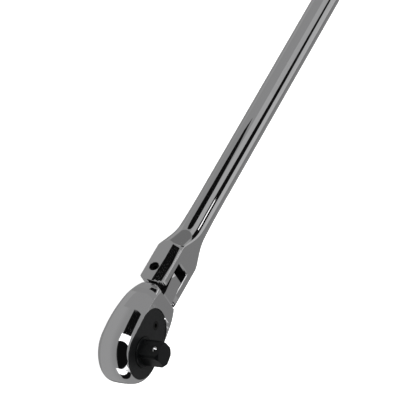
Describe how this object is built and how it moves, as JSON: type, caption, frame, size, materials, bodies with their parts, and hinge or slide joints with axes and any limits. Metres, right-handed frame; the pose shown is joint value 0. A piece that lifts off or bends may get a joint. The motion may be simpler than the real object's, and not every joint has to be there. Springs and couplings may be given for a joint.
{
  "type": "ratchet wrench",
  "caption": "Flex-head ratchet wrench with a teardrop head, a square drive with a retaining ball, a reversing lever and a long round chrome handle on a slotted hinge.",
  "frame": {"origin": "on the drive axis, at the shoulder that a socket seats on", "axes": "+Z along the square drive, out of the head; +X from the drive towards the handle"},
  "size_m": [0.4432, 0.04, 0.0689],
  "materials": {
    "polished_chrome": "full polish chrome plate",
    "black_phosphate": "black phosphate, satin",
    "black_oxide": "black oxide, satin, worn at the edges",
    "bright_steel": "bright ball bearing steel",
    "spring_steel": "drawn spring wire",
    "hardened_steel": "ground and hardened",
    "bronze_washer": "rolled bronze",
    "seal_rubber": "moulded rubber",
    "gasket_fibre": "pressed gasket sheet"
  },
  "bodies": {
    "head": {"head_body": "polished_chrome", "cover_plate": "black_phosphate", "cover_gasket": "gasket_fibre", "cover_screw": "black_oxide", "drive_seal": "seal_rubber", "gear_thrust_washer": "bronze_washer", "pawl_pin": "hardened_steel"},
    "drive": {"drive_gear": "black_phosphate", "tang_ball_spring": "spring_steel"},
    "ball": {"tang_ball": "bright_steel"},
    "pawl": {"pawl": "hardened_steel"},
    "lever": {"reversing_lever": "polished_chrome", "pawl_spring": "spring_steel", "lever_seal": "seal_rubber", "lever_clip": "spring_steel"},
    "plunger": {"pawl_plunger": "hardened_steel"},
    "handle": {"handle": "polished_chrome", "flex_pin": "black_oxide", "flex_washer_left": "bronze_washer", "flex_washer_right": "bronze_washer"}
  },
  "joints": [
    {"name": "flex", "type": "hinge", "parent": "head", "child": "handle", "pos_m": [0.0513, 0, -0.0088], "axis": [0, -1, 0], "range_deg": [-96.8, 83.2]},
    {"name": "drive_spin", "type": "hinge", "parent": "head", "child": "drive", "pos_m": [0, 0, 0], "axis": [0, 0, 1], "continuous": true},
    {"name": "reverse", "type": "hinge", "parent": "head", "child": "lever", "pos_m": [0.031, 0, -0.0228], "axis": [0, 0, -1], "range_deg": [0, 60]},
    {"name": "pawl_rock", "type": "hinge", "parent": "head", "child": "pawl", "pos_m": [0.0191, 0, -0.009], "axis": [0, 0, 1], "range_deg": [0, 6.4]},
    {"name": "ball_press", "type": "slide", "parent": "drive", "child": "ball", "axis": [-0.0785, 0.9969, 0], "range_m": [-0.00066, 0], "stiffness_N_per_m": 3000, "springref_m": 0.0015},
    {"name": "plunger_press", "type": "slide", "parent": "lever", "child": "plunger", "axis": [-0.866, -0.5, 0], "range_m": [-0.0006, 0], "stiffness_N_per_m": 1500, "springref_m": 0.0015}
  ],
  "couplings": [
    {"joint": "pawl_rock", "follows": "reverse", "ratio": 0.10667}
  ]
}
